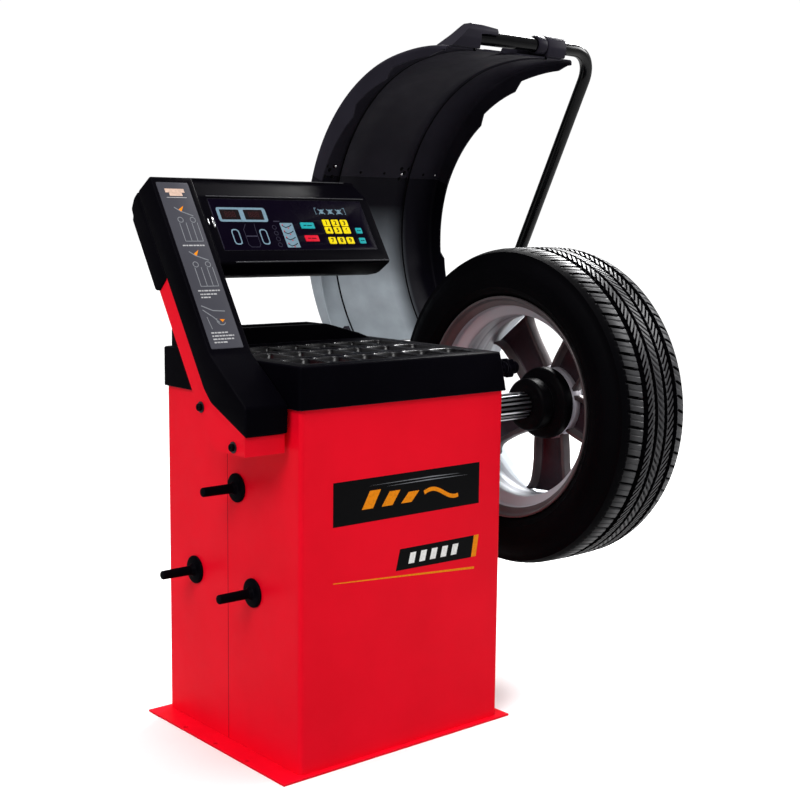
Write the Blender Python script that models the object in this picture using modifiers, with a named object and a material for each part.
"""Wheel balancer with a swing-over hood and a clamped car wheel.

Frame: origin on the floor under the centre of the cabinet, +X along the spindle
towards the wheel, +Y to the rear, +Z up. Metres.
"""
import math

import bmesh
import bpy
from mathutils import Vector

# ---- driving dimensions ---------------------------------------------------
GAP = 0.0003                    # between pieces that touch
CABINET_W = 0.475
CABINET_D = 0.434
CABINET_TOP = 0.6475
SHEET = 0.0015
BASE_T = 0.004
LEFT = -CABINET_W / 2
RIGHT = CABINET_W / 2
FRONT = -CABINET_D / 2
REAR = CABINET_D / 2

SEAM_LEFT = FRONT + 0.224       # where the two shells meet on each side
SEAM_RIGHT = FRONT + 0.300
PIN_PLACES = [(-0.025, 0.483), (0.117, 0.303), (-0.075, 0.300)]    # y, z
PIN_STUB = 0.007                # how far a pin reaches through the side

SKIRT_BOTTOM = 0.6443           # tray skirt, outside the cabinet
TRAY_TOP = 0.719
TRAY_OVERHANG = 0.005
TRAY_LEAN = 0.018               # the right wall leans in by this at the top
LEDGE_TOP = 0.752
POCKET = (0.058, 0.082)         # each weight pocket along X and Y
POCKET_FLOOR = 0.695
POCKET_CORNER_R = 0.005
POCKET_FIRST = (-0.181, -0.152)
POCKET_PITCH = (0.0685, 0.105)
GAUGE_Y = -0.162
GAUGE_Z = 0.678
GAUGE_R = 0.0082
GAUGE_HEAD_X = 0.2603

SPINDLE_Y = -0.024
SPINDLE_Z = 0.574
FLANGE_FACE_X = 0.561           # the wheel's hub pad rests here
SHAFT_END_X = 0.690
HOUSING_X = (-0.030, 0.4845)
MOTOR_Z = 0.300
PULLEY_X = (-0.068, -0.050)
SPINDLE_PULLEY_R = 0.054
MOTOR_PULLEY_R = 0.018

TYRE_R = 0.334
TYRE_HALF_W = 0.110
RIM_LIP_R = 0.2335
BEAD_SEAT_R = 0.2180
WHEEL_MID_X = 0.521
SPOKES = 5
SPOKE_PHASE = 52                # degrees from +Y towards +Z
SPOKE_HALF_W = 0.046
LUG_CIRCLE_R = 0.057

COLUMN_LEFT = -0.3335
COLUMN_RIGHT = -0.2475
COLUMN_LEAN = math.radians(32.5)
COLUMN_FOOT = (-0.087, 0.733)   # y, z where the steep front face starts
COLUMN_WALL = 0.0025
BOLT_PLACES = [(-0.055, 0.640), (-0.155, 0.5835)]                  # y, z
COLUMN_TOP_S = 0.358
LABEL_X = (-0.3255, -0.2605)
LABEL_S = (0.0103, 0.3447)      # up the column's slope

CONSOLE_LEFT = COLUMN_RIGHT + GAP
CONSOLE_RIGHT = 0.1425
CONSOLE_LOW_S = 0.1765
KEY_ROWS = (0.2630, 0.2467, 0.2240)
PANEL_X = (-0.230, 0.1215)
PANEL_S = (0.2045, 0.3128)      # up the column's slope

HOOD_PIVOT = (0.325, 0.668)     # y, z
HOOD_CENTRE = (0.083, 0.932)    # y, z of the arc when open
HOOD_R = 0.372
HOOD_T = 0.003
HOOD_X = (0.2625, 0.6405)
TUBE_END_X = 0.330
HOOD_START = -42                # degrees round the arc from +Y towards +Z
HOOD_SEAM = 20
HOOD_END = 104
TUBE_R = 0.0135
TUBE_WALL = 0.0018
TUBE_ARM_X = 0.7075
TUBE_TOP = (0.003, 1.326)       # y, z

TURN_STEPS = 28
WHEEL_STEPS = 36
SMALL_STEPS = 14


# ---- scene, materials and basic shapes ------------------------------------
def clear_scene():
    for obj in list(bpy.data.objects):
        bpy.data.objects.remove(obj, do_unlink=True)


def new_collection(name):
    collection = bpy.data.collections.new(name)
    bpy.context.scene.collection.children.link(collection)
    return collection


clear_scene()
PARTS = new_collection("wheel_balancer")
CUTTERS = new_collection("cutters")


def material(name, color, roughness=0.5, metallic=0.0):
    mat = bpy.data.materials.new(name)
    mat.use_nodes = True
    shader = mat.node_tree.nodes["Principled BSDF"]
    shader.inputs["Base Color"].default_value = (*color, 1.0)
    shader.inputs["Roughness"].default_value = roughness
    shader.inputs["Metallic"].default_value = metallic
    return mat


RED_PAINT = material("red_paint", (0.75, 0.01, 0.03), 0.35)
BLACK_PLASTIC = material("black_plastic", (0.012, 0.012, 0.016), 0.45)
HOOD_PLASTIC = material("hood_plastic", (0.015, 0.015, 0.02), 0.35)
BLACK_STEEL = material("black_steel", (0.01, 0.01, 0.012), 0.35, 0.6)
ALUMINIUM = material("aluminium", (0.6, 0.6, 0.62), 0.35, 1.0)
STEEL = material("steel", (0.5, 0.5, 0.52), 0.3, 1.0)
RUBBER = material("rubber", (0.01, 0.01, 0.01), 0.8)
BOARD_GREEN = material("board_green", (0.02, 0.15, 0.05), 0.5)
PANEL_BLACK = material("panel_black", (0.005, 0.006, 0.012), 0.3)
LABEL_GREY = material("label_grey", (0.03, 0.03, 0.035), 0.4)
KEY_YELLOW = material("key_yellow", (0.8, 0.6, 0.02), 0.4)
KEY_TEAL = material("key_teal", (0.02, 0.35, 0.4), 0.4)
KEY_RED = material("key_red", (0.7, 0.03, 0.03), 0.4)
CAST_IRON = material("cast_iron", (0.05, 0.05, 0.055), 0.6, 0.7)
MOTOR_BLUE = material("motor_enamel", (0.06, 0.08, 0.11), 0.45, 0.3)


def finish(obj, mat, collection=PARTS):
    """Name the mesh, give the material and move the object to its collection."""
    for other in list(obj.users_collection):
        other.objects.unlink(obj)
    collection.objects.link(obj)
    obj.data.name = obj.name
    obj.data.materials.clear()
    if mat:
        obj.data.materials.append(mat)
    return obj


def round_shading(obj, angle=30):
    obj.data.shade_smooth()
    obj.data.set_sharp_from_angle(angle=math.radians(angle))
    return obj


def box(name, low, high, mat=None, bevel=0.0, segments=2):
    """An upright box between two corners."""
    size = [b - a for a, b in zip(low, high)]
    centre = [(a + b) / 2 for a, b in zip(low, high)]
    bpy.ops.mesh.primitive_cube_add(size=1.0)
    obj = bpy.context.object
    obj.name = name
    obj.data.transform([[size[0], 0, 0, 0], [0, size[1], 0, 0], [0, 0, size[2], 0], [0, 0, 0, 1]])
    obj.location = centre
    if bevel:
        add_bevel(obj, bevel, segments)
    return finish(obj, mat)


def add_bevel(obj, width, segments=2, angle=40):
    mod = obj.modifiers.new("edges", 'BEVEL')
    mod.width = width
    mod.segments = segments
    mod.limit_method = 'ANGLE'
    mod.angle_limit = math.radians(angle)
    return mod


def cylinder_x(name, radius, x0, x1, y, z, mat=None, steps=TURN_STEPS):
    """A round bar along X."""
    bpy.ops.mesh.primitive_cylinder_add(vertices=steps, radius=radius, depth=x1 - x0)
    obj = bpy.context.object
    obj.name = name
    obj.location = ((x0 + x1) / 2, y, z)
    obj.rotation_euler = (0, math.radians(90), 0)
    round_shading(obj)
    return finish(obj, mat)


def cylinder_z(name, radius, z0, z1, x, y, mat=None, steps=TURN_STEPS):
    """A round bar along Z."""
    bpy.ops.mesh.primitive_cylinder_add(vertices=steps, radius=radius, depth=z1 - z0)
    obj = bpy.context.object
    obj.name = name
    obj.location = (x, y, (z0 + z1) / 2)
    round_shading(obj)
    return finish(obj, mat)


def plate(name, loops, thickness, mat=None):
    """A flat outline, with any holes as further loops, made a solid plate in local XY."""
    curve = bpy.data.curves.new(name, 'CURVE')
    curve.dimensions = '2D'
    curve.fill_mode = 'BOTH'
    curve.extrude = thickness / 2
    for loop in loops:
        spline = curve.splines.new('POLY')
        spline.points.add(len(loop) - 1)
        for point, (u, v) in zip(spline.points, loop):
            point.co = (u, v, 0, 1)
        spline.use_cyclic_u = True
    guide = bpy.data.objects.new(name + "_outline", curve)
    PARTS.objects.link(guide)
    bpy.context.view_layer.update()
    depsgraph = bpy.context.evaluated_depsgraph_get()
    mesh = bpy.data.meshes.new_from_object(guide.evaluated_get(depsgraph))
    bpy.data.objects.remove(guide)
    weld(mesh)
    obj = bpy.data.objects.new(name, mesh)
    PARTS.objects.link(obj)
    return finish(obj, mat)


def weld(mesh, distance=0.00001):
    bm = bmesh.new()
    bm.from_mesh(mesh)
    bmesh.ops.remove_doubles(bm, verts=bm.verts, dist=distance)
    bmesh.ops.recalc_face_normals(bm, faces=bm.faces)
    bm.to_mesh(mesh)
    bm.free()


def side_prism(name, loops, x0, x1, mat=None):
    """An outline in (y, z) extruded along X."""
    obj = plate(name, loops, x1 - x0, mat)
    obj.location = ((x0 + x1) / 2, 0, 0)
    obj.rotation_euler = (math.radians(90), 0, math.radians(90))
    return obj


def turned(name, profile, mat=None, x=0.0, y=SPINDLE_Y, z=SPINDLE_Z, steps=TURN_STEPS, closed=True):
    """A profile of (radius, position along X) turned about an axis along X.

    A closed profile is a ring; an open one starts and ends on the axis.
    """
    points = list(profile)
    area = sum(a[0] * b[1] - b[0] * a[1] for a, b in zip(points, points[1:] + points[:1]))
    if area > 0:
        points.reverse()
    mesh = bpy.data.meshes.new(name)
    edges = [(i, i + 1) for i in range(len(points) - 1)]
    if closed:
        edges.append((len(points) - 1, 0))
    mesh.from_pydata([(r, 0, h) for r, h in points], edges, [])
    obj = bpy.data.objects.new(name, mesh)
    PARTS.objects.link(obj)
    mod = obj.modifiers.new("turn", 'SCREW')
    mod.steps = steps
    mod.render_steps = steps
    mod.use_merge_vertices = True
    mod.merge_threshold = 0.00001
    obj.location = (x, y, z)
    obj.rotation_euler = (0, math.radians(90), 0)
    return finish(obj, mat)


def combine(obj, other, operation):
    """A Boolean with a helper object, which becomes a hidden cutter."""
    mod = obj.modifiers.new(operation.lower(), 'BOOLEAN')
    mod.operation = operation
    mod.object = other
    mod.solver = 'EXACT'
    for collection in list(other.users_collection):
        collection.objects.unlink(other)
    CUTTERS.objects.link(other)
    other.hide_render = True
    other.display_type = 'WIRE'
    return obj


def cut(obj, *cutters):
    for cutter in cutters:
        combine(obj, cutter, 'DIFFERENCE')
    return obj


def join(obj, *others):
    for other in others:
        combine(obj, other, 'UNION')
    return obj


def empty(name, location, lean=0.0):
    obj = bpy.data.objects.new(name, None)
    PARTS.objects.link(obj)
    obj.location = location
    obj.rotation_euler = (lean, 0, 0)
    obj.empty_display_size = 0.05
    return obj


def arc(centre, radius, start, end, count):
    """Points on an arc, angles in degrees."""
    angles = [math.radians(start + (end - start) * i / count) for i in range(count + 1)]
    return [(centre[0] + radius * math.cos(a), centre[1] + radius * math.sin(a)) for a in angles]


def circle(centre, radius, count=24):
    return arc(centre, radius, 0, 360, count)[:-1]


def up_column(s, t):
    """(y, z) of a point s up the column's front face and t behind it."""
    sin_lean = math.sin(COLUMN_LEAN)
    cos_lean = math.cos(COLUMN_LEAN)
    return (COLUMN_FOOT[0] + s * sin_lean + t * cos_lean,
            COLUMN_FOOT[1] + s * cos_lean - t * sin_lean)


# ---- base and cabinet -----------------------------------------------------
def base_plate():
    low = (LEFT - 0.042, FRONT - 0.011, 0)
    high = (RIGHT + 0.022, REAR + 0.011, BASE_T)
    obj = box("base_plate", low, high, RED_PAINT)
    for x in (low[0] + 0.0085, high[0] - 0.0085):
        for y in (-0.104, 0.0, 0.104):
            cut(obj, cylinder_z("anchor_cutter", 0.0045, -0.01, 0.02, x, y, steps=16))
    return obj


def rounded_box(name, low, high, radius, mat=None):
    """A box whose upright edges are rounded."""
    left, right = low[0] + radius, high[0] - radius
    front, rear = low[1] + radius, high[1] - radius
    outline = []
    for centre, start in (((right, rear), 0), ((left, rear), 90), ((left, front), 180),
                          ((right, front), 270)):
        outline += arc(centre, radius, start, start + 90, 3)
    obj = plate(name, [outline], high[2] - low[2], mat)
    obj.location = (0, 0, (low[2] + high[2]) / 2)
    return obj


def cabinet_wrap(name, kept_outline):
    """The half of the cabinet's sheet-metal box whose plan is kept_outline."""
    bottom = BASE_T + GAP
    obj = rounded_box(name, (LEFT, FRONT, bottom), (RIGHT, REAR, CABINET_TOP), 0.009, RED_PAINT)
    inner = rounded_box("cabinet_inside", (LEFT + SHEET, FRONT + SHEET, bottom + SHEET),
                        (RIGHT - SHEET, REAR - SHEET, CABINET_TOP - SHEET), 0.0075)
    mouth = rounded_box("cabinet_mouth", (LEFT + 0.022, FRONT + 0.022, -0.02),
                        (RIGHT - 0.022, REAR - 0.022, CABINET_TOP + 0.02), 0.004)
    half = plate("cabinet_half", [kept_outline], 1.0)
    half.location = (0, 0, 0.4)
    cut(obj, inner, mouth)
    combine(obj, half, 'INTERSECT')
    return obj


def cabinet_front_shell():
    kept = [(-0.4, -0.4), (0.4, -0.4), (0.4, SEAM_RIGHT), (0, SEAM_RIGHT), (0, SEAM_LEFT), (-0.4, SEAM_LEFT)]
    obj = cabinet_wrap("cabinet_front_shell", kept)
    cut(obj, cylinder_x("spindle_opening", 0.034, RIGHT - 0.01, RIGHT + 0.01, SPINDLE_Y, SPINDLE_Z))
    return obj


def cabinet_rear_shell():
    seam_l = SEAM_LEFT + GAP
    seam_r = SEAM_RIGHT + GAP
    kept = [(0.4, 0.4), (-0.4, 0.4), (-0.4, seam_l), (0.001, seam_l), (0.001, seam_r), (0.4, seam_r)]
    obj = cabinet_wrap("cabinet_rear_shell", kept)
    cut(obj, box("inlet_opening", (-0.164, REAR - 0.01, 0.288), (-0.136, REAR + 0.01, 0.312)),
        box("switch_opening", (-0.1115, REAR - 0.01, 0.286), (-0.0885, REAR + 0.01, 0.314)))
    return obj


def storage_pins(front_shell, rear_shell):
    """Three pins that hold cones and nuts on the cabinet's left side."""
    face = LEFT - GAP
    stub_end = face + PIN_STUB
    for number, (y, z) in enumerate(PIN_PLACES, 1):
        profile = [(0, face - 0.074), (0.0075, face - 0.074), (0.0088, face - 0.072), (0.0088, face - 0.012),
                   (0.0115, face - 0.008), (0.0265, face - 0.005), (0.0265, face), (0.0040, face),
                   (0.0040, stub_end), (0, stub_end)]
        turned(f"storage_pin_{number}", profile, BLACK_PLASTIC, y=y, z=z, steps=SMALL_STEPS, closed=False)
        shell = rear_shell if y > SEAM_LEFT else front_shell
        cut(shell, cylinder_x("pin_hole", 0.0044, LEFT - 0.005, LEFT + 0.005, y, z, steps=16))


# ---- weight tray ----------------------------------------------------------
def tray_body(name, inset, low_z, high_z, mat=None):
    """A block as wide as the tray less inset, whose right wall leans like the tray's."""
    lean = TRAY_LEAN / (TRAY_TOP - SKIRT_BOTTOM)
    x0 = LEFT - TRAY_OVERHANG + inset
    right_at = RIGHT + TRAY_OVERHANG - inset
    y0 = FRONT - TRAY_OVERHANG + inset
    y1 = REAR + TRAY_OVERHANG - inset
    outline = [(x0, low_z), (right_at - lean * (low_z - SKIRT_BOTTOM), low_z),
               (right_at - lean * (high_z - SKIRT_BOTTOM), high_z), (x0, high_z)]
    obj = plate(name, [outline], y1 - y0, mat)
    obj.rotation_euler = (math.radians(90), 0, 0)
    obj.location = (0, (y0 + y1) / 2, 0)
    return obj


def weight_tray():
    obj = tray_body("weight_tray", 0.0, SKIRT_BOTTOM, TRAY_TOP, BLACK_PLASTIC)
    add_bevel(obj, 0.0025)
    ledge_outline = [(LEFT + 0.012, 0.700), (0.200, 0.700), (0.200, 0.722), (0.178, 0.730),
                     (0.095, LEDGE_TOP), (LEFT + 0.012, LEDGE_TOP)]
    ledge = plate("ledge_block", [ledge_outline], 0.072)
    ledge.rotation_euler = (math.radians(90), 0, 0)
    ledge.location = (0, REAR - 0.034, 0)
    add_bevel(ledge, 0.002)
    join(obj, ledge)
    seat_inset = TRAY_OVERHANG - 0.0015
    cut(obj, tray_body("skirt_hollow", seat_inset, SKIRT_BOTTOM - 0.01, CABINET_TOP + GAP),
        tray_body("deck_hollow", 0.027, SKIRT_BOTTOM - 0.01, 0.690))
    for row in range(3):
        for column in range(6):
            x = POCKET_FIRST[0] + column * POCKET_PITCH[0]
            y = POCKET_FIRST[1] + row * POCKET_PITCH[1]
            low = (x - POCKET[0] / 2, y - POCKET[1] / 2, POCKET_FLOOR)
            high = (x + POCKET[0] / 2, y + POCKET[1] / 2, TRAY_TOP + 0.02)
            cut(obj, rounded_box_at("pocket_cutter", low, high, POCKET_CORNER_R))
    cut(obj, box("ledge_groove", (LEFT + 0.03, REAR - 0.055, 0.735), (0.080, REAR - 0.015, LEDGE_TOP + 0.01)),
        cylinder_x("gauge_hole", 0.0085, 0.0, 0.3, GAUGE_Y, GAUGE_Z, steps=24))
    return obj


def rounded_box_at(name, low, high, radius):
    """A box away from the origin whose upright edges are rounded."""
    centre = Vector(((low[0] + high[0]) / 2, (low[1] + high[1]) / 2, 0))
    obj = rounded_box(name, (low[0] - centre.x, low[1] - centre.y, low[2]),
                      (high[0] - centre.x, high[1] - centre.y, high[2]), radius)
    obj.location += centre
    return obj


# ---- column ---------------------------------------------------------------
def column_bracket():
    x0 = COLUMN_LEFT + COLUMN_WALL + GAP
    x1 = COLUMN_RIGHT - COLUMN_WALL - GAP
    front_y = FRONT + 0.0285
    outer = [(front_y, 0.5705), (-0.095, 0.5705), up_column(-0.105, 0.087), up_column(0.28, 0.087),
             up_column(0.28, 0.010), up_column(0.0, 0.006), (front_y, 0.646)]
    inner = [(front_y + 0.002, 0.5725), (-0.0962, 0.5725), up_column(-0.104, 0.085), up_column(0.30, 0.085),
             up_column(0.30, -0.03), up_column(-0.02, -0.03), (-0.24, 0.70), (-0.24, 0.603),
             (front_y + 0.002, 0.603)]
    obj = side_prism("column_bracket", [outer], x0, x1, RED_PAINT)
    cut(obj, side_prism("bracket_inside", [inner], x0 + 0.002, x1 - 0.002))
    join(obj, box("bracket_pad", (x1 - 0.001, -0.165, 0.575), (LEFT - GAP, -0.080, 0.611)))
    for y, z in BOLT_PLACES:
        cut(obj, cylinder_x("bolt_hole", 0.0044, x0 - 0.005, x0 + 0.01, y, z, steps=16))
    return obj


def bracket_bolts():
    face = COLUMN_LEFT + COLUMN_WALL
    for name, (y, z) in zip(("bracket_bolt_upper", "bracket_bolt_lower"), BOLT_PLACES):
        profile = [(0, face - 0.0068), (0.0055, face - 0.0068), (0.0065, face - 0.0055),
                   (0.0065, face - 0.0013),
                   (0.0100, face - 0.0013), (0.0100, face), (0.0041, face), (0.0041, face + 0.016),
                   (0, face + 0.016)]
        turned(name, profile, STEEL, y=y, z=z, steps=SMALL_STEPS, closed=False)


def column_cover():
    wall = COLUMN_WALL
    foot_y = FRONT + 0.022
    outer = [up_column(COLUMN_TOP_S, 0), up_column(0, 0), (foot_y, 0.653), (foot_y, 0.603), (-0.088, 0.651),
             up_column(-0.04, 0.050), up_column(COLUMN_TOP_S, 0.052)]
    inner = [up_column(COLUMN_TOP_S - wall, wall), up_column(-0.001, wall), (foot_y + wall, 0.6515),
             (foot_y + wall, 0.55),
             (0.0, 0.55), up_column(-0.04, 0.10), up_column(COLUMN_TOP_S - wall, 0.10)]
    obj = side_prism("column_cover", [outer], COLUMN_LEFT, COLUMN_RIGHT, BLACK_PLASTIC)
    add_bevel(obj, 0.004, 2)
    cut(obj, side_prism("cover_inside", [inner], COLUMN_LEFT + wall, COLUMN_RIGHT - wall))
    low, high = LABEL_S[0] - GAP, LABEL_S[1] + GAP
    recess = [up_column(low, -0.01), up_column(low, 0.0012), up_column(high, 0.0012), up_column(high, -0.01)]
    cut(obj, side_prism("label_recess", [recess], LABEL_X[0] - GAP, LABEL_X[1] + GAP))
    return obj


def instruction_panel():
    low, high = LABEL_S
    outline = [up_column(low, 0.0), up_column(low, 0.0009), up_column(high, 0.0009), up_column(high, 0.0)]
    return side_prism("instruction_panel", [outline], LABEL_X[0], LABEL_X[1], LABEL_GREY)


def column_head():
    wall = COLUMN_WALL
    start = 0.0523
    top = COLUMN_TOP_S
    outer = [up_column(0.1786, start), up_column(0.172, 0.084), up_column(0.180, 0.096),
             up_column(top - 0.032, 0.096),
             up_column(top - 0.013, 0.088), up_column(top - 0.002, 0.070), up_column(top, start)]
    inner = [up_column(0.15, 0.040), up_column(0.15, 0.0875), up_column(0.184, 0.0875),
             up_column(0.184, 0.0935), up_column(top - 0.033, 0.0935), up_column(top - 0.015, 0.086),
             up_column(top - 0.0045, 0.069), up_column(top - 0.0025, start), up_column(top - 0.0025, 0.040)]
    obj = side_prism("column_head", [outer], COLUMN_LEFT, COLUMN_RIGHT, BLACK_PLASTIC)
    add_bevel(obj, 0.003, 2)
    cut(obj, side_prism("head_inside", [inner], COLUMN_LEFT + wall, COLUMN_RIGHT - wall))
    return obj


# ---- console --------------------------------------------------------------
def console_housing():
    split = 0.0455
    low = CONSOLE_LOW_S
    outer = [up_column(low, split), up_column(low, 0.005), up_column(low + 0.004, 0.001),
             up_column(0.319, 0.001),
             up_column(0.363, 0.022), up_column(0.372, 0.022), up_column(0.372, split)]
    inner = [up_column(low + 0.0025, 0.08), up_column(low + 0.0025, 0.0055), up_column(0.317, 0.0055),
             up_column(0.362, 0.0255), up_column(0.3695, 0.0255), up_column(0.3695, 0.08)]
    obj = side_prism("console_housing", [outer], CONSOLE_LEFT, CONSOLE_RIGHT, BLACK_PLASTIC)
    add_bevel(obj, 0.0015, 1)
    cut(obj, side_prism("console_inside", [inner], CONSOLE_LEFT + 0.0025, CONSOLE_RIGHT - 0.0025))
    seat = [up_column(PANEL_S[0] - GAP, -0.01), up_column(PANEL_S[0] - GAP, 0.0028),
            up_column(PANEL_S[1] + GAP, 0.0028), up_column(PANEL_S[1] + GAP, -0.01)]
    rim = 0.006
    window = [up_column(PANEL_S[0] + rim, -0.01), up_column(PANEL_S[0] + rim, 0.012),
              up_column(PANEL_S[1] - rim, 0.012), up_column(PANEL_S[1] - rim, -0.01)]
    cut(obj, side_prism("panel_seat", [seat], PANEL_X[0] - GAP, PANEL_X[1] + GAP),
        side_prism("panel_window", [window], PANEL_X[0] + rim, PANEL_X[1] - rim))
    return obj


def console_back_cover():
    start = 0.0458
    low = CONSOLE_LOW_S
    outer = [up_column(low, start), up_column(0.372, start), up_column(0.366, 0.078),
             up_column(low + 0.014, 0.078)]
    inner = [up_column(low + 0.0025, start - 0.01), up_column(0.3695, start - 0.01), up_column(0.3695, start),
             up_column(0.364, 0.0755), up_column(low + 0.0160, 0.0755), up_column(low + 0.0028, start)]
    obj = side_prism("console_back_cover", [outer], CONSOLE_LEFT, CONSOLE_RIGHT, BLACK_PLASTIC)
    cut(obj, side_prism("back_inside", [inner], CONSOLE_LEFT + 0.0025, CONSOLE_RIGHT - 0.0025))
    return obj


def key_layout():
    """Name, x and s of each key's centre, its size and its material."""
    keys = []
    for row in range(3):
        for column in range(3):
            name = f"key_number_{row * 3 + column + 1}"
            keys.append((name, 0.0200 + column * 0.0215, KEY_ROWS[row], 0.0170, 0.0150, KEY_YELLOW))
    keys.append(("key_upper_small", 0.0926, 0.2459, 0.0150, 0.0130, KEY_TEAL))
    keys.append(("key_lower_small", 0.0926, 0.2236, 0.0150, 0.0130, KEY_TEAL))
    keys.append(("key_start", -0.0268, 0.2569, 0.0320, 0.0135, KEY_TEAL))
    keys.append(("key_stop", -0.0268, 0.2288, 0.0320, 0.0135, KEY_RED))
    return keys


def keypad(frame):
    """The panel and its keys, built in the column's own leaning frame."""
    width = PANEL_X[1] - PANEL_X[0]
    height = PANEL_S[1] - PANEL_S[0]
    centre = ((PANEL_X[0] + PANEL_X[1]) / 2, (PANEL_S[0] + PANEL_S[1]) / 2)
    outline = [(-width / 2, -height / 2), (width / 2, -height / 2), (width / 2, height / 2),
               (-width / 2, height / 2)]
    loops = [outline]
    for _, x, s, key_w, key_h, _ in key_layout():
        loops.append(rectangle(x - centre[0], s - centre[1], key_w / 2 + GAP, key_h / 2 + GAP))
    panel = plate("keypad_panel", loops, 0.0014, PANEL_BLACK)
    place_on_panel(panel, frame, centre[0], 0.0018, centre[1])
    for name, x, s, key_w, key_h, mat in key_layout():
        key = plate(name, [rectangle(0, 0, key_w / 2, key_h / 2)], 0.0022, mat)
        place_on_panel(key, frame, x, 0.0014, s)


def rectangle(u, v, half_w, half_h):
    return [(u - half_w, v - half_h), (u + half_w, v - half_h), (u + half_w, v + half_h),
            (u - half_w, v + half_h)]


def place_on_panel(obj, frame, x, t, s):
    """Stand a plate made in local XY up in the leaning frame."""
    obj.parent = frame
    obj.location = (x, t, s)
    obj.rotation_euler = (math.radians(90), 0, 0)


def display_board(frame):
    """The board with its digit modules and four standoffs to the back cover."""
    board = plate("display_board", [rectangle(0, 0, 0.158, 0.043)], 0.0016, BOARD_GREEN)
    place_on_panel(board, frame, -0.0575, 0.0208, 0.259)
    for x in (-0.190, -0.143):
        module = plate("digit_module", [rectangle(0, 0, 0.0195, 0.0085)], 0.0140)
        place_on_panel(module, frame, x, 0.0135, 0.2785)
        join(board, module)
    for x in (-0.205, 0.090):
        for s in (0.224, 0.294):
            post = plate("standoff", [circle((0, 0), 0.004, 12)], 0.0540)
            place_on_panel(post, frame, x, 0.0482, s)
            join(board, post)
    return board


# ---- spindle --------------------------------------------------------------
def pedestal():
    """A folded steel stand with the motor's flange plate welded in its end."""
    top = 0.500
    half = 0.060
    foot = 0.030
    base = BASE_T + GAP
    t = 0.004
    outline = [(-half - foot, base), (-half, base), (-half, top - t), (half, top - t), (half, base),
               (half + foot, base), (half + foot, base + t), (half + t, base + t), (half + t, top),
               (-half - t, top), (-half - t, base + t), (-half - foot, base + t)]
    outline = [(SPINDLE_Y + y, z) for y, z in outline]
    obj = side_prism("spindle_pedestal", [outline], 0.0, 0.190, BLACK_STEEL)
    plate_outline = [(SPINDLE_Y - half - 0.002, MOTOR_Z - 0.075), (SPINDLE_Y + half + 0.002, MOTOR_Z - 0.075),
                     (SPINDLE_Y + half + 0.002, MOTOR_Z + 0.075), (SPINDLE_Y - half - 0.002, MOTOR_Z + 0.075)]
    end = side_prism("motor_flange", [plate_outline, circle((SPINDLE_Y, MOTOR_Z), 0.020)], 0.0005, 0.0045)
    join(obj, end)
    return obj


def spindle_housing():
    """Ribbed bearing tube with a saddle that stands on the two force sensors."""
    ribs = 18
    inner_r = 0.0238
    outline = []
    for i in range(ribs):
        for offset, radius in ((0.10, 0.0265), (0.22, 0.0288), (0.48, 0.0288), (0.60, 0.0265)):
            angle = 2 * math.pi * (i + offset) / ribs
            outline.append((SPINDLE_Y + radius * math.cos(angle), SPINDLE_Z + radius * math.sin(angle)))
    obj = side_prism("spindle_housing", [outline, circle((SPINDLE_Y, SPINDLE_Z), inner_r, 32)],
                     HOUSING_X[0], HOUSING_X[1], ALUMINIUM)
    saddle = box("saddle", (0.010, SPINDLE_Y - 0.040, 0.5123), (0.180, SPINDLE_Y + 0.040, 0.560))
    cut(saddle, cylinder_x("saddle_bore", 0.0264, 0.0, 0.2, SPINDLE_Y, SPINDLE_Z))
    join(obj, saddle)
    return obj


def force_sensors():
    for name, x in (("force_sensor_inner", 0.040), ("force_sensor_outer", 0.150)):
        cylinder_z(name, 0.016, 0.5003, 0.5120, x, SPINDLE_Y, STEEL, steps=24)


def bearings():
    for name, x in (("bearing_inner", -0.018), ("bearing_outer", 0.4655)):
        profile = [(0.0235, x), (0.0235, x + 0.012), (0.0128, x + 0.012), (0.0128, x)]
        turned(name, profile, STEEL)


def spindle_shaft():
    """Shaft with a wide nose for the nut, a seat for the flange and a stub for the pulley."""
    profile = [(0, -0.112), (0.0095, -0.112), (0.0095, -0.0455), (0.0125, -0.0455), (0.0125, 0.4880),
               (0.0165, 0.4880), (0.0165, 0.5740), (0.0178, 0.5760), (0.0178, SHAFT_END_X - 0.003),
               (0.0150, SHAFT_END_X), (0, SHAFT_END_X)]
    return turned("spindle_shaft", profile, STEEL, closed=False)


def spindle_flange():
    """Boss and face plate that drive the wheel, recessed for the cone."""
    bore = 0.0169
    face = FLANGE_FACE_X - GAP
    profile = [(bore, 0.4890), (0.046, 0.4890), (0.054, 0.4940), (0.056, 0.5050), (0.056, 0.5240),
               (0.061, 0.5330),
               (0.074, 0.5385), (0.0775, 0.5440), (0.0775, face - 0.002), (0.0755, face), (0.046, face),
               (0.046, face - 0.026), (bore, face - 0.026)]
    return turned("spindle_flange", profile, BLACK_STEEL)


def centering_cone():
    """Sprung cone in the flange's recess, its small end in the wheel's bore."""
    profile = [(0.0182, 0.5400), (0.0400, 0.5400), (0.0400, 0.5480), (0.0300, 0.5720), (0.0182, 0.5720)]
    return turned("centering_cone", profile, STEEL)


def pulley(name, radius, x0, x1, bore, y, z):
    lip = radius + 0.003
    profile = [(bore, x0), (lip, x0), (lip, x0 + 0.0015), (radius, x0 + 0.0025), (radius, x1 - 0.0025),
               (lip, x1 - 0.0015), (lip, x1), (bore, x1)]
    return turned(name, profile, ALUMINIUM, y=y, z=z, steps=24)


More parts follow.
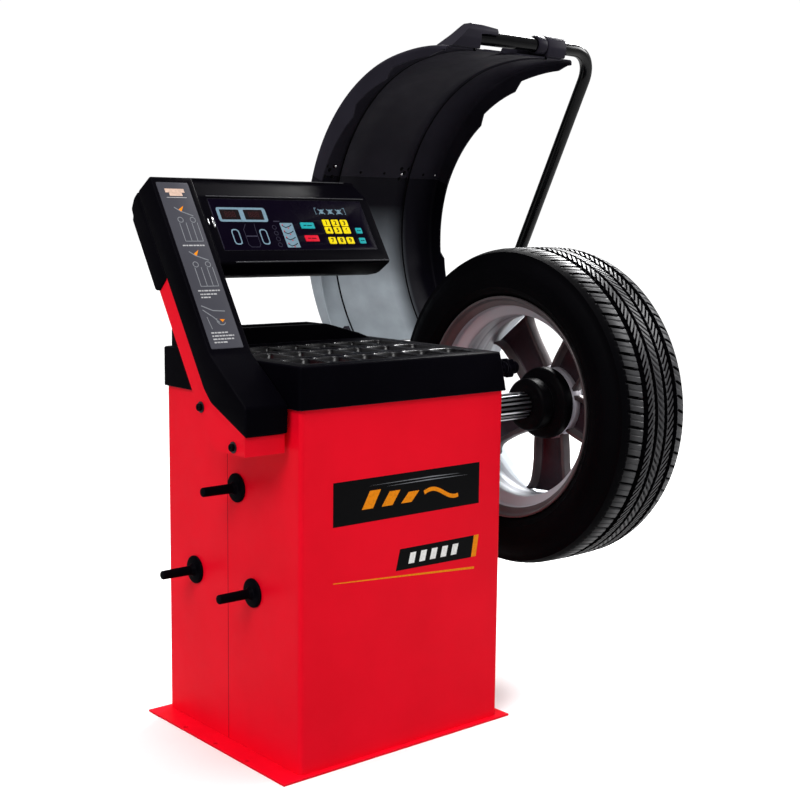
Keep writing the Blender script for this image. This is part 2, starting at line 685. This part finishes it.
def belt_drive():
    pulley("spindle_pulley", SPINDLE_PULLEY_R, *PULLEY_X, 0.0098, SPINDLE_Y, SPINDLE_Z)
    rotor = pulley("motor_pulley", MOTOR_PULLEY_R, *PULLEY_X, 0.0050, SPINDLE_Y, MOTOR_Z)
    join(rotor, cylinder_x("motor_shaft", 0.0065, -0.074, 0.0300, SPINDLE_Y, MOTOR_Z, steps=24))
    belt_t = 0.0035
    outer = belt_outline(SPINDLE_PULLEY_R + GAP + belt_t, MOTOR_PULLEY_R + GAP + belt_t)
    inner = belt_outline(SPINDLE_PULLEY_R + GAP, MOTOR_PULLEY_R + GAP)
    side_prism("drive_belt", [outer, inner], PULLEY_X[0] + 0.0035, PULLEY_X[1] - 0.0035, RUBBER)


def belt_outline(upper_r, lower_r):
    """An open belt's outline round the upper and the lower pulley."""
    rise = SPINDLE_Z - MOTOR_Z
    lean = math.degrees(math.asin((upper_r - lower_r) / rise))
    upper = arc((SPINDLE_Y, SPINDLE_Z), upper_r, -lean, 180 + lean, 24)
    lower = arc((SPINDLE_Y, MOTOR_Z), lower_r, 180 + lean, 360 - lean, 16)
    return upper + lower


def motor():
    start = 0.0048
    profile = [(0, 0.031), (0.0068, 0.031), (0.0068, start - 0.006), (0.0190, start - 0.006), (0.0190, start),
               (0.0480, start), (0.0500, 0.010), (0.0500, 0.135), (0.0440, 0.145), (0, 0.145)]
    return turned("motor", profile, MOTOR_BLUE, z=MOTOR_Z, closed=False, steps=32)


def encoder():
    """Slotted disc on the shaft's inner end and the fork that reads it."""
    slot = rectangle(0, 0.034, 0.0016, 0.003)
    disc_loops = [circle((0, 0), 0.040, 24), circle((0, 0), 0.0098, 16)]
    for i in range(8):
        angle = 2 * math.pi * i / 8
        disc_loops.append([(u * math.cos(angle) - v * math.sin(angle),
                            u * math.sin(angle) + v * math.cos(angle))
                           for u, v in slot])
    disc = plate("encoder_disc", disc_loops, 0.0015, STEEL)
    disc.location = (-0.095, SPINDLE_Y, SPINDLE_Z)
    disc.rotation_euler = (math.radians(90), 0, math.radians(90))
    fork_outline = [(-0.103, 0.5360), (-0.103, 0.5050), (-0.0445, 0.5050), (-0.0445, 0.5110),
                    (-0.087, 0.5110),
                    (-0.087, 0.5420), (-0.0925, 0.5420), (-0.0925, 0.5280), (-0.0975, 0.5280), (-0.0975,
                                                                                                0.5420),
                    (-0.103, 0.5420)]
    fork = plate("encoder_sensor", [fork_outline], 0.016, BLACK_PLASTIC)
    fork.rotation_euler = (math.radians(90), 0, 0)
    fork.location = (0, SPINDLE_Y, 0)


# ---- clamped wheel --------------------------------------------------------
def rim_barrel(name, mat):
    """The turned rim: lips, bead seats and drop centre."""
    half = 0.0955
    t = 0.0045
    outer = [(RIM_LIP_R, -half), (RIM_LIP_R, -half + 0.008), (BEAD_SEAT_R, -half + 0.014),
             (BEAD_SEAT_R - 0.001, -0.062),
             (0.197, -0.045), (0.196, 0.010), (BEAD_SEAT_R - 0.001, 0.060), (BEAD_SEAT_R, half - 0.014),
             (RIM_LIP_R, half - 0.008), (RIM_LIP_R, half)]
    inner = [(RIM_LIP_R - t, half), (BEAD_SEAT_R - t, half - 0.022), (BEAD_SEAT_R - 0.001 - t, 0.062),
             (0.196 - t, 0.008), (0.197 - t, -0.047), (BEAD_SEAT_R - 0.001 - t, -0.064),
             (BEAD_SEAT_R - t, -half + 0.018), (RIM_LIP_R - t, -half)]
    return turned(name, outer + inner, mat, x=WHEEL_MID_X, steps=WHEEL_STEPS)


def wheel_rim():
    """Five broad spokes joined to the barrel and to a hub with a centre bore and bolt holes."""
    obj = rim_barrel("wheel_rim", ALUMINIUM)
    hub_in = FLANGE_FACE_X - WHEEL_MID_X
    hub = turned("hub_block", [(0.0352, hub_in), (0.072, hub_in), (0.076, hub_in + 0.006),
                               (0.072, hub_in + 0.030),
                               (0.0352, hub_in + 0.030)], x=WHEEL_MID_X)
    join(obj, hub)
    half_w = SPOKE_HALF_W
    end_w = half_w + 0.008
    spoke = [(0.055, -half_w), (0.135, -half_w), (0.200, -end_w), (0.200, end_w), (0.135, half_w),
             (0.055, half_w)]
    for i in range(SPOKES):
        angle = math.radians(SPOKE_PHASE + i * 360 / SPOKES)
        outline = [(u * math.cos(angle) - v * math.sin(angle) + SPINDLE_Y,
                    u * math.sin(angle) + v * math.cos(angle) + SPINDLE_Z) for u, v in spoke]
        join(obj, side_prism("spoke", [outline], WHEEL_MID_X + 0.048, WHEEL_MID_X + 0.068))
    for i in range(SPOKES):
        angle = math.radians(SPOKE_PHASE + i * 360 / SPOKES)
        y = SPINDLE_Y + LUG_CIRCLE_R * math.cos(angle)
        z = SPINDLE_Z + LUG_CIRCLE_R * math.sin(angle)
        cut(obj, cylinder_x("lug_hole", 0.0075, WHEEL_MID_X, WHEEL_MID_X + 0.1, y, z, steps=12))
    return obj


def tyre():
    """Hollow carcass, open between the beads as on the real tyre."""
    half = TYRE_HALF_W
    bead_r = BEAD_SEAT_R + GAP
    lip_r = RIM_LIP_R + 0.001
    side = [(bead_r, 0.0795), (lip_r, 0.0862), (0.242, 0.0985), (0.276, half), (0.306, 0.103),
            (0.3265, 0.082),
            (TYRE_R, 0.045)]
    lining = [(0.321, 0.0), (0.318, 0.066), (0.276, 0.099), (0.240, 0.082), (bead_r, 0.0665)]
    outer = [(r, -x) for r, x in side] + side[::-1]
    inner = lining[:0:-1] + [(r, -x) for r, x in lining]
    return turned("tyre", outer + inner, RUBBER, x=WHEEL_MID_X, steps=WHEEL_STEPS)


def quick_nut():
    """Winged nut with its pressure cup against the wheel's outer hub face."""
    start = FLANGE_FACE_X + 0.030 + GAP
    bore = 0.0182
    cup = [(bore, start + 0.016), (0.0300, start + 0.016), (0.0640, start), (0.0660, start),
           (0.0660, start + 0.008),
           (0.0360, start + 0.024), (0.0360, start + 0.062), (0.0300, start + 0.066), (bore, start + 0.066)]
    obj = turned("quick_nut", cup, CAST_IRON)
    for angle in (25, 205):
        wing = wing_outline(math.radians(angle))
        join(obj, side_prism("nut_wing", [wing], start + 0.040, start + 0.058))
    return obj


def wing_outline(angle):
    """A tapered handle reaching out from the nut."""
    shape = [(0.030, -0.014), (0.078, -0.009), (0.084, 0.0), (0.078, 0.009), (0.030, 0.014)]
    return [(SPINDLE_Y + u * math.cos(angle) - v * math.sin(angle),
             SPINDLE_Z + u * math.sin(angle) + v * math.cos(angle)) for u, v in shape]


# ---- distance gauge -------------------------------------------------------
def distance_gauge():
    """Pull-out rod in the tray's right wall with the head that touches the rim."""
    cylinder_x("gauge_rod", GAUGE_R - 0.0002, -0.020, 0.2600, GAUGE_Y, GAUGE_Z, STEEL, steps=24)
    profile = [(0, GAUGE_HEAD_X)]
    for offset, radius in ((0.000, 0.014), (0.004, 0.019), (0.016, 0.019), (0.020, 0.015), (0.027, 0.015),
                           (0.031, 0.020), (0.044, 0.020), (0.048, 0.013), (0.060, 0.013), (0.064, 0.008)):
        profile.append((radius, GAUGE_HEAD_X + offset))
    profile.append((0, GAUGE_HEAD_X + offset))
    turned("gauge_head", profile, BLACK_PLASTIC, y=GAUGE_Y, z=GAUGE_Z, closed=False, steps=24)


# ---- hood -----------------------------------------------------------------
def wall_depth(angle):
    """How far the hood's side walls reach inwards at an angle round the arc."""
    steps = [(HOOD_START, 0.028), (-9, 0.044), (20, 0.040), (38, 0.055), (54, 0.038), (76, 0.024),
             (104, 0.012)]
    for (a0, d0), (a1, d1) in zip(steps, steps[1:]):
        if a0 <= angle <= a1:
            return d0 + (d1 - d0) * (angle - a0) / (a1 - a0)
    return steps[-1][1]


def hood_shell(name, start, end):
    """A curved channel: the outer skin with two side walls turned inwards."""
    count = round((end - start) / 5)
    angles = [start + (end - start) * i / count for i in range(count + 1)]
    x0, x1 = HOOD_X
    corner = 0.008
    verts = []
    for angle in angles:
        depth = wall_depth(angle)
        section = [(x0, depth), (x0, corner), (x0 + corner * 0.3, corner * 0.3), (x0 + corner, 0),
                   (x1 - corner, 0), (x1 - corner * 0.3, corner * 0.3), (x1, corner), (x1, depth)]
        a = math.radians(angle)
        for x, inward in section:
            radius = HOOD_R - inward
            verts.append((x, HOOD_CENTRE[0] + radius * math.cos(a), HOOD_CENTRE[1] + radius * math.sin(a)))
    ring = 8
    faces = []
    for row in range(len(angles) - 1):
        for i in range(ring - 1):
            a = row * ring + i
            faces.append((a, a + ring, a + ring + 1, a + 1))
    mesh = bpy.data.meshes.new(name)
    mesh.from_pydata(verts, [], faces)
    obj = bpy.data.objects.new(name, mesh)
    PARTS.objects.link(obj)
    mod = obj.modifiers.new("skin", 'SOLIDIFY')
    mod.thickness = HOOD_T
    mod.offset = -1.0
    mod.use_even_offset = True
    return finish(obj, HOOD_PLASTIC)


def hood_lugs(shell):
    """Lugs that clip the lower shell to the pivot leg of the tube."""
    foot = arc(HOOD_CENTRE, HOOD_R - 0.001, HOOD_START, HOOD_START + 5, 2)
    inside = arc(HOOD_CENTRE, HOOD_R - 0.026, HOOD_START + 5, HOOD_START, 2)
    eye = arc(HOOD_PIVOT, 0.0185, 125, 385, 12)
    for x in (HOOD_X[0] + 0.040, HOOD_X[1] - 0.055):
        lug = side_prism("lug", [foot + inside + eye, circle(HOOD_PIVOT, TUBE_R + GAP, 24)], x, x + 0.014)
        join(shell, lug)


def hood_tube():
    """U-shaped tube: pivot leg, long arm and the top leg that carries the hood."""
    bend = 0.065
    corner_low = Vector((TUBE_ARM_X, *HOOD_PIVOT))
    corner_top = Vector((TUBE_ARM_X, *TUBE_TOP))
    start = Vector((-0.020, *HOOD_PIVOT))
    end = Vector((TUBE_END_X, *TUBE_TOP))
    route = [start] + bend_points(start, corner_low, corner_top, bend)
    route += bend_points(corner_low, corner_top, end, bend) + [end]
    curve = bpy.data.curves.new("hood_tube", 'CURVE')
    curve.dimensions = '3D'
    curve.bevel_depth = TUBE_R
    curve.bevel_resolution = 3
    spline = curve.splines.new('POLY')
    spline.points.add(len(route) - 1)
    for point, place in zip(spline.points, route):
        point.co = (*place, 1)
    guide = bpy.data.objects.new("tube_route", curve)
    PARTS.objects.link(guide)
    bpy.context.view_layer.update()
    depsgraph = bpy.context.evaluated_depsgraph_get()
    mesh = bpy.data.meshes.new_from_object(guide.evaluated_get(depsgraph))
    bpy.data.objects.remove(guide)
    weld(mesh)
    obj = bpy.data.objects.new("hood_tube", mesh)
    PARTS.objects.link(obj)
    mod = obj.modifiers.new("wall", 'SOLIDIFY')
    mod.thickness = TUBE_WALL
    mod.offset = -1.0
    return finish(obj, BLACK_STEEL)


def bend_points(before, corner, after, radius, count=5):
    """Points of the round bend between two straight runs."""
    into = (before - corner).normalized()
    out = (after - corner).normalized()
    half = into.angle(out) / 2
    reach = radius / math.tan(half)
    centre = corner + (into + out).normalized() * (radius / math.sin(half))
    first = corner + into * reach - centre
    last = corner + out * reach - centre
    return [centre + slerp(first, last, i / count) for i in range(count + 1)]


def slerp(first, last, fraction):
    angle = first.angle(last)
    return (first * math.sin((1 - fraction) * angle) + last * math.sin(fraction * angle)) / math.sin(angle)


def hood_clamps():
    """A wedge over the tube's closed end and a saddle with its foot, on the hood's skin."""
    radial = math.degrees(math.atan2(TUBE_TOP[1] - HOOD_CENTRE[1], TUBE_TOP[0] - HOOD_CENTRE[0]))
    base = HOOD_R + GAP
    wedge_top = [(base + 0.030, 0.020), (base + 0.048, 0.017), (base + 0.057, 0.010), (base + 0.057, -0.012),
                 (base + 0.048, -0.017), (base + 0.030, -0.020)]
    left = skin_prism("hood_clamp_left", arc((0, 0), base, -5.0, 3.0, 4) + wedge_top, radial, 0.273, 0.400)
    slope = [(0.260, 1.2935), (0.273, 1.3005), (0.332, 1.3520), (0.410, 1.3435), (0.410, 1.400),
             (0.260, 1.400)]
    over = plate("wedge_slope", [slope], 0.2)
    over.rotation_euler = (math.radians(90), 0, 0)
    cut(left, over, cylinder_x("clamp_bore", TUBE_R + GAP, TUBE_END_X - GAP, 0.410, *TUBE_TOP, steps=36))
    saddle_top = [(base + 0.030, 0.020), (base + 0.044, 0.016), (base + 0.051, 0.007), (base + 0.051, -0.007),
                  (base + 0.044, -0.016), (base + 0.030, -0.020)]
    right = skin_prism("hood_clamp_right", arc((0, 0), base, -5.0, 3.0, 4) + saddle_top, radial, 0.520, 0.600)
    foot = arc((0, 0), base, -11.0, -3.0, 4) + arc((0, 0), base + 0.020, -3.0, -10.0, 4)
    join(right, skin_prism("clamp_foot", foot, radial, 0.495, 0.565))
    cut(right, cylinder_x("saddle_bore", TUBE_R + GAP, 0.480, 0.620, *TUBE_TOP, steps=36))


def skin_prism(name, outline, turn, x0, x1):
    """A prism along X whose outline is given about the hood's centre and turned to its place."""
    a = math.radians(turn)
    loop = [(HOOD_CENTRE[0] + u * math.cos(a) - v * math.sin(a),
             HOOD_CENTRE[1] + u * math.sin(a) + v * math.cos(a))
            for u, v in outline]
    return side_prism(name, [loop], x0, x1, BLACK_PLASTIC)


def hood_bracket():
    """Two ears on a back plate that carry the hood's pivot leg."""
    back = REAR + GAP
    obj = box("hood_bracket", (0.000, back, 0.480), (0.200, back + 0.005, 0.640), BLACK_STEEL)
    ear = [(back + 0.004, 0.500), (back + 0.004, 0.6395)] + arc(HOOD_PIVOT, 0.026, 100, -60, 8)
    for x in (0.006, 0.182):
        plate_ear = side_prism("ear", [ear, circle(HOOD_PIVOT, TUBE_R + GAP, 32)], x, x + 0.010)
        join(obj, plate_ear)
    return obj


# ---- electrics ------------------------------------------------------------
def control_board():
    """Main board standing on four posts off the rear wall, with its transformer."""
    wall = REAR - SHEET - GAP
    board = box("control_board", (-0.200, wall - 0.0216, 0.360), (-0.050, wall - 0.020, 0.480), BOARD_GREEN)
    for x in (-0.190, -0.060):
        for z in (0.370, 0.470):
            post = cylinder_z("board_post", 0.004, 0, 0.0205, x, 0, steps=12)
            post.rotation_euler = (math.radians(90), 0, 0)
            post.location = (x, wall - 0.01025, z)
            join(board, post)
    join(board, box("transformer", (-0.180, wall - 0.060, 0.385), (-0.120, wall - 0.021, 0.435)),
         box("heat_sink", (-0.100, wall - 0.045, 0.400), (-0.070, wall - 0.021, 0.460)))
    return board


def mains_inlet():
    """Panel-mounted inlet with its recess."""
    obj = box("mains_inlet", (-0.1637, REAR - 0.022, 0.2883), (-0.1363, REAR + 0.001, 0.3117), BLACK_PLASTIC)
    join(obj, box("inlet_flange", (-0.1720, REAR + GAP, 0.2800), (-0.1280, REAR + 0.0023, 0.3200)))
    cut(obj, box("inlet_recess", (-0.1610, REAR - 0.016, 0.2910), (-0.1390, REAR + 0.01, 0.3090)))
    return obj


def power_switch():
    """Rocker in its frame; it tips about X."""
    frame = box("switch_frame", (-0.1112, REAR - 0.020, 0.2863), (-0.0888, REAR + 0.001, 0.3137),
                BLACK_PLASTIC)
    join(frame, box("switch_flange", (-0.1150, REAR + GAP, 0.2820), (-0.0850, REAR + 0.0023, 0.3180)))
    cut(frame, box("switch_well", (-0.1085, REAR - 0.014, 0.2890), (-0.0915, REAR + 0.01, 0.3110)))
    y0 = REAR - 0.004
    rocker = [(y0 - 0.003, 0.3080), (y0 + 0.0085, 0.3085), (y0 + 0.0055, 0.3000), (y0 + 0.0055, 0.2970),
              (y0 + 0.0050, 0.2915), (y0 - 0.003, 0.2920)]
    side_prism("switch_rocker", [rocker], -0.1080, -0.0920, KEY_RED)


# ---- assembly -------------------------------------------------------------
def build():
    base_plate()
    front_shell = cabinet_front_shell()
    rear_shell = cabinet_rear_shell()
    storage_pins(front_shell, rear_shell)
    weight_tray()
    column_bracket()
    bracket_bolts()
    column_cover()
    instruction_panel()
    column_head()
    console_housing()
    console_back_cover()
    frame = empty("column_frame", (0, *COLUMN_FOOT), -COLUMN_LEAN)
    keypad(frame)
    display_board(frame)
    pedestal()
    spindle_housing()
    force_sensors()
    bearings()
    spindle_shaft()
    spindle_flange()
    centering_cone()
    belt_drive()
    motor()
    encoder()
    wheel_rim()
    tyre()
    quick_nut()
    distance_gauge()
    hood_lugs(hood_shell("hood_shell_lower", HOOD_START, HOOD_SEAM - 0.06))
    hood_shell("hood_shell_upper", HOOD_SEAM, HOOD_END)
    hood_tube()
    hood_clamps()
    hood_bracket()
    control_board()
    mains_inlet()
    power_switch()


build()
